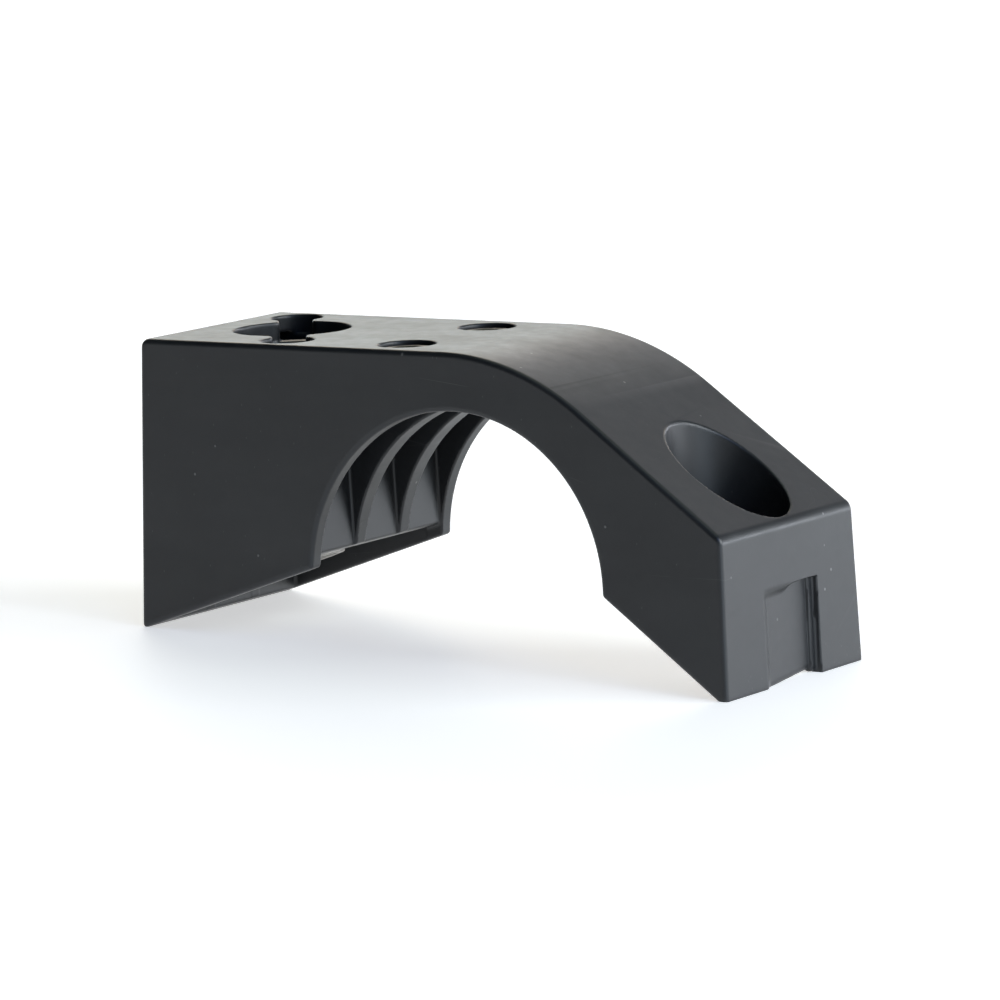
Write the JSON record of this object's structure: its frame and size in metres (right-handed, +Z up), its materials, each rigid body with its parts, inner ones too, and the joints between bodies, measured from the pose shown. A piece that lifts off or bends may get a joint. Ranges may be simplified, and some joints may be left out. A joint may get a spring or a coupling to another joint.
{
  "type": "saddle bracket",
  "caption": "Black moulded saddle bracket with a flat deck, a ribbed arch that sits over a tube, a sloping foot, bolt counterbores and threaded deck inserts.",
  "frame": {"origin": "on the flat deck, midway between the two threaded inserts", "axes": "+X along the bracket towards the sloping foot, +Y across the width, +Z up out of the deck"},
  "size_m": [0.104, 0.0378, 0.0481],
  "materials": {
    "body_plastic": "fine satin mould texture, black glass-filled polymer",
    "sleeve_steel": "turned stainless steel",
    "insert_steel": "turned stainless steel, threaded bore"
  },
  "bodies": {
    "root": {"bracket_body": "body_plastic", "base_bolt_sleeve": "sleeve_steel", "foot_bolt_sleeve": "sleeve_steel", "deck_insert_near": "insert_steel", "deck_insert_far": "insert_steel"}
  },
  "joints": []
}
